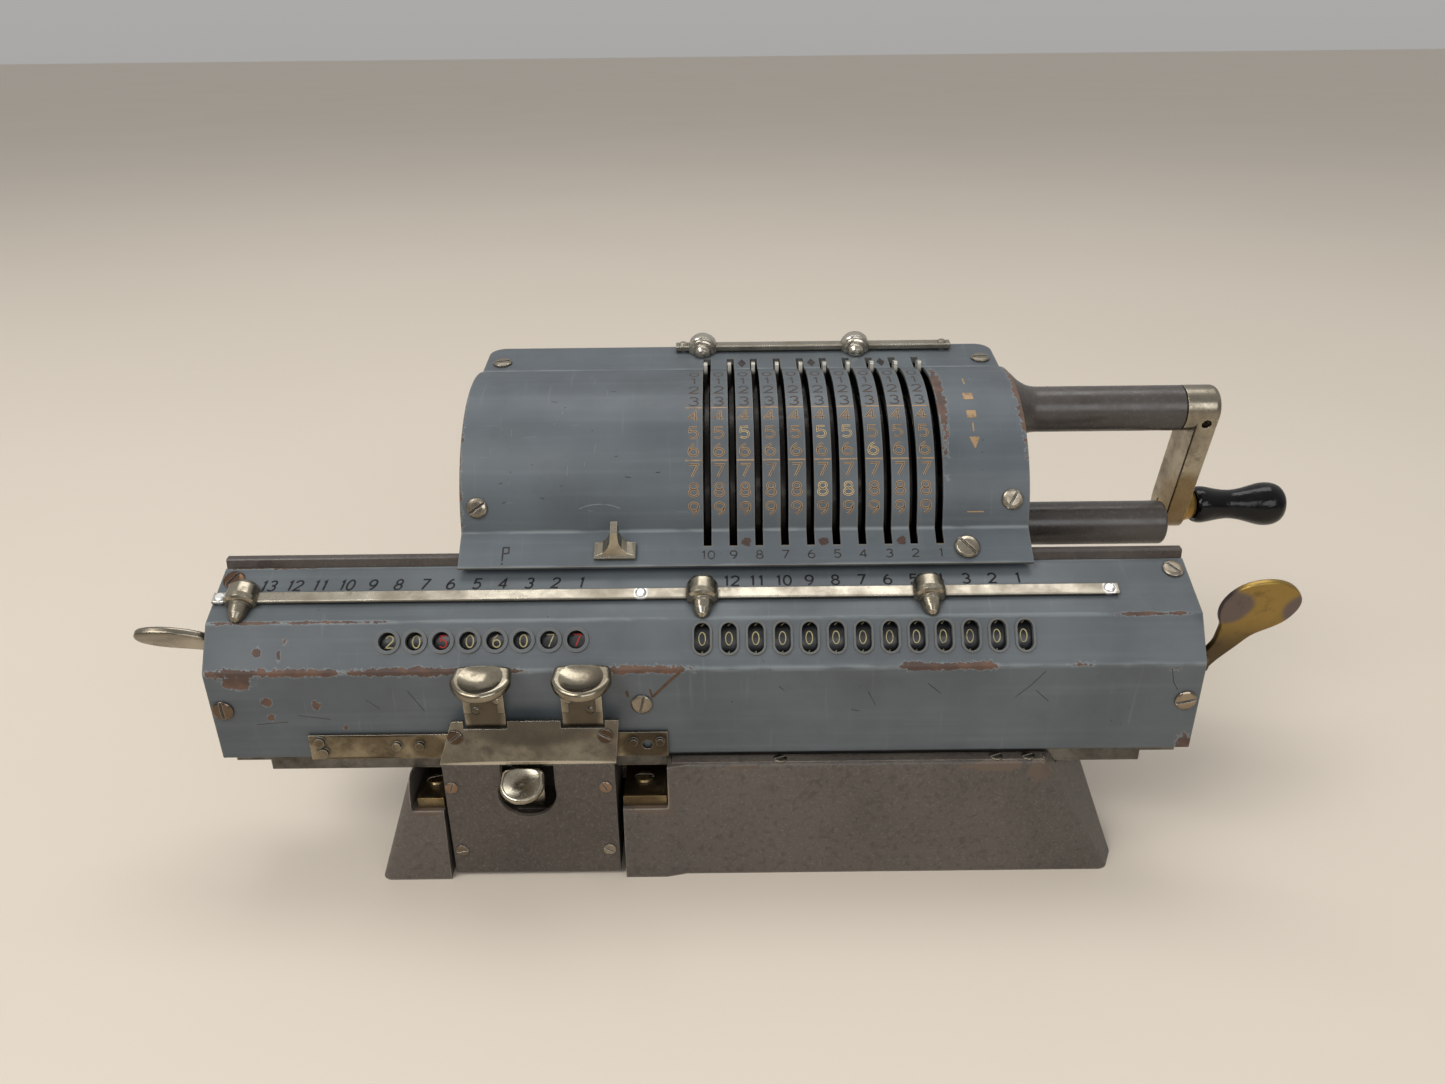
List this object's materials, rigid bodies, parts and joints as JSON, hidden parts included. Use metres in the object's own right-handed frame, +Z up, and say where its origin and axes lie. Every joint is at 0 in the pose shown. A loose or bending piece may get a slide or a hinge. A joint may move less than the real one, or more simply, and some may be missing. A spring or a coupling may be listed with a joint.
{
  "type": "pinwheel mechanical calculator",
  "caption": "Hand-cranked pinwheel calculator: setting levers on a turning drum, a shifting carriage with number wheels, thumb keys and clearing levers.",
  "frame": {"origin": "centre of the base's footprint on the table plane", "axes": "+X to the user's right along the carriage, +Y to the back, +Z up"},
  "size_m": [0.3562, 0.147, 0.1381],
  "materials": {
    "blue_grey_paint": "worn satin enamel over brown primer",
    "brown_crinkle_paint": "fine crinkle enamel",
    "dark_casting": "satin brown-grey enamel",
    "nickel": "worn nickel plate",
    "steel": "oiled steel",
    "brass": "patinated brass",
    "black_wheel": "black number wheel",
    "black_grip": "black polished grip",
    "rubber": "rubber"
  },
  "bodies": {
    "frame": {"base_casting": "brown_crinkle_paint", "bottom_plate": "steel", "rubber_feet": "rubber", "left_side_frame": "dark_casting", "right_side_frame": "steel", "right_cheek": "dark_casting", "drum_cover": "blue_grey_paint", "rear_cover": "blue_grey_paint", "frame_screws": "nickel", "front_guide_rail": "steel", "cross_bar": "steel", "escapement_bracket": "steel", "box_housing": "steel", "box_front_plate": "brown_crinkle_paint", "box_top_plate": "nickel", "top_pointer_rail": "nickel", "bearing_bushes": "brass"},
    "drum": {"drum_shaft": "steel", "pinwheels": "steel", "setting_pins": "steel", "drum_gear": "brass"},
    "crank": {"crank_shaft": "steel", "crank_gear": "brass", "crank_arm": "nickel"},
    "pull_spindle": {"handle_spindle": "steel"},
    "grip": {"handle_grip": "black_grip"},
    "idler": {"idler_gear": "brass"},
    "carriage": {"carriage_cover": "blue_grey_paint", "carriage_end_left": "dark_casting", "carriage_end_right": "dark_casting", "carriage_bed": "dark_casting", "carriage_top_bar": "dark_casting", "register_shafts": "steel", "pointer_rail": "nickel", "carriage_screws": "nickel", "rack_strip": "nickel"},
    "setting_lever_01": {"setting_lever_01": "steel"},
    "setting_lever_02": {"setting_lever_02": "steel"},
    "setting_lever_03": {"setting_lever_03": "steel"},
    "setting_lever_04": {"setting_lever_04": "steel"},
    "setting_lever_05": {"setting_lever_05": "steel"},
    "setting_lever_06": {"setting_lever_06": "steel"},
    "setting_lever_07": {"setting_lever_07": "steel"},
    "setting_lever_08": {"setting_lever_08": "steel"},
    "setting_lever_09": {"setting_lever_09": "steel"},
    "setting_lever_10": {"setting_lever_10": "steel"},
    "result_wheels": {"result_wheels": "black_wheel"},
    "counter_wheels": {"counter_wheels": "black_wheel"},
    "intermediate_gears": {"intermediate_gears": "brass"},
    "pointer_left": {"pointer_left": "nickel"},
    "pointer_middle": {"pointer_middle": "nickel"},
    "pointer_right": {"pointer_right": "nickel"},
    "clear_lever_left": {"clear_lever_left": "nickel"},
    "clear_lever_right": {"clear_lever_right": "brass"},
    "left_shift_key": {"left_shift_key": "nickel"},
    "right_shift_key": {"right_shift_key": "nickel"},
    "release_key": {"release_key": "nickel"},
    "top_pointer_left": {"top_pointer_left": "nickel"},
    "top_pointer_right": {"top_pointer_right": "nickel"},
    "clearing_knob": {"clearing_knob": "nickel"}
  },
  "joints": [
    {"name": "drum_turn", "type": "hinge", "parent": "frame", "child": "drum", "pos_m": [0, 0.0092, 0.0915], "axis": [1, 0, 0], "continuous": true},
    {"name": "crank_turn", "type": "hinge", "parent": "frame", "child": "crank", "pos_m": [0, 0.0082, 0.119], "axis": [1, 0, 0], "continuous": true},
    {"name": "idler_turn", "type": "hinge", "parent": "frame", "child": "idler", "pos_m": [0, 0.01128, 0.10534], "axis": [1, 0, 0], "continuous": true},
    {"name": "handle_pull", "type": "slide", "parent": "crank", "child": "pull_spindle", "axis": [1, 0, 0], "range_m": [0, 0.004], "stiffness_N_per_m": 400},
    {"name": "grip_spin", "type": "hinge", "parent": "pull_spindle", "child": "grip", "pos_m": [0, 0.01898, 0.0809], "axis": [1, 0, 0], "continuous": true},
    {"name": "setting_lever_01_set", "type": "hinge", "parent": "drum", "child": "setting_lever_01", "pos_m": [0, 0.0092, 0.0915], "axis": [1, 0, 0], "range_deg": [0, 74.7]},
    {"name": "setting_lever_02_set", "type": "hinge", "parent": "drum", "child": "setting_lever_02", "pos_m": [0, 0.0092, 0.0915], "axis": [1, 0, 0], "range_deg": [0, 74.7]},
    {"name": "setting_lever_03_set", "type": "hinge", "parent": "drum", "child": "setting_lever_03", "pos_m": [0, 0.0092, 0.0915], "axis": [1, 0, 0], "range_deg": [0, 74.7]},
    {"name": "setting_lever_04_set", "type": "hinge", "parent": "drum", "child": "setting_lever_04", "pos_m": [0, 0.0092, 0.0915], "axis": [1, 0, 0], "range_deg": [0, 74.7]},
    {"name": "setting_lever_05_set", "type": "hinge", "parent": "drum", "child": "setting_lever_05", "pos_m": [0, 0.0092, 0.0915], "axis": [1, 0, 0], "range_deg": [0, 74.7]},
    {"name": "setting_lever_06_set", "type": "hinge", "parent": "drum", "child": "setting_lever_06", "pos_m": [0, 0.0092, 0.0915], "axis": [1, 0, 0], "range_deg": [0, 74.7]},
    {"name": "setting_lever_07_set", "type": "hinge", "parent": "drum", "child": "setting_lever_07", "pos_m": [0, 0.0092, 0.0915], "axis": [1, 0, 0], "range_deg": [0, 74.7]},
    {"name": "setting_lever_08_set", "type": "hinge", "parent": "drum", "child": "setting_lever_08", "pos_m": [0, 0.0092, 0.0915], "axis": [1, 0, 0], "range_deg": [0, 74.7]},
    {"name": "setting_lever_09_set", "type": "hinge", "parent": "drum", "child": "setting_lever_09", "pos_m": [0, 0.0092, 0.0915], "axis": [1, 0, 0], "range_deg": [0, 74.7]},
    {"name": "setting_lever_10_set", "type": "hinge", "parent": "drum", "child": "setting_lever_10", "pos_m": [0, 0.0092, 0.0915], "axis": [1, 0, 0], "range_deg": [0, 74.7]},
    {"name": "carriage_slide", "type": "slide", "parent": "frame", "child": "carriage", "axis": [1, 0, 0], "range_m": [-0.0225, 0.03]},
    {"name": "result_wheels_turn", "type": "hinge", "parent": "carriage", "child": "result_wheels", "pos_m": [0, -0.04954, 0.06943], "axis": [1, 0, 0], "continuous": true},
    {"name": "counter_wheels_turn", "type": "hinge", "parent": "carriage", "child": "counter_wheels", "pos_m": [0, -0.04954, 0.06943], "axis": [1, 0, 0], "continuous": true},
    {"name": "intermediate_gears_turn", "type": "hinge", "parent": "carriage", "child": "intermediate_gears", "pos_m": [0, -0.03894, 0.06379], "axis": [1, 0, 0], "continuous": true},
    {"name": "pointer_left_slide", "type": "slide", "parent": "carriage", "child": "pointer_left", "axis": [1, 0, 0], "range_m": [0, 0.104]},
    {"name": "pointer_middle_slide", "type": "slide", "parent": "carriage", "child": "pointer_middle", "axis": [1, 0, 0], "range_m": [-0.01, 0.027]},
    {"name": "pointer_right_slide", "type": "slide", "parent": "carriage", "child": "pointer_right", "axis": [1, 0, 0], "range_m": [-0.0275, 0.044]},
    {"name": "clear_left_turn", "type": "hinge", "parent": "carriage", "child": "clear_lever_left", "pos_m": [0, -0.04954, 0.06943], "axis": [1, 0, 0], "range_deg": [-80, 30]},
    {"name": "clear_right_turn", "type": "hinge", "parent": "carriage", "child": "clear_lever_right", "pos_m": [0, -0.054, 0.064], "axis": [1, 0, 0], "range_deg": [-25, 65]},
    {"name": "left_key_press", "type": "slide", "parent": "frame", "child": "left_shift_key", "axis": [0, 0, -1], "range_m": [0, 0.004], "stiffness_N_per_m": 300},
    {"name": "right_key_press", "type": "slide", "parent": "frame", "child": "right_shift_key", "axis": [0, 0, -1], "range_m": [0, 0.004], "stiffness_N_per_m": 300},
    {"name": "release_key_press", "type": "slide", "parent": "frame", "child": "release_key", "axis": [0, 0, -1], "range_m": [0, 0.003], "stiffness_N_per_m": 300},
    {"name": "top_pointer_left_slide", "type": "slide", "parent": "frame", "child": "top_pointer_left", "axis": [1, 0, 0], "range_m": [0, 0.02]},
    {"name": "top_pointer_right_slide", "type": "slide", "parent": "frame", "child": "top_pointer_right", "axis": [1, 0, 0], "range_m": [-0.02, 0.022]},
    {"name": "clearing_knob_slide", "type": "slide", "parent": "frame", "child": "clearing_knob", "axis": [1, 0, 0], "range_m": [0, 0.003]}
  ],
  "couplings": [
    {"joint": "crank_turn", "follows": "drum_turn", "ratio": 1},
    {"joint": "idler_turn", "follows": "drum_turn", "ratio": -1.3333},
    {"joint": "intermediate_gears_turn", "follows": "result_wheels_turn", "ratio": -1}
  ]
}
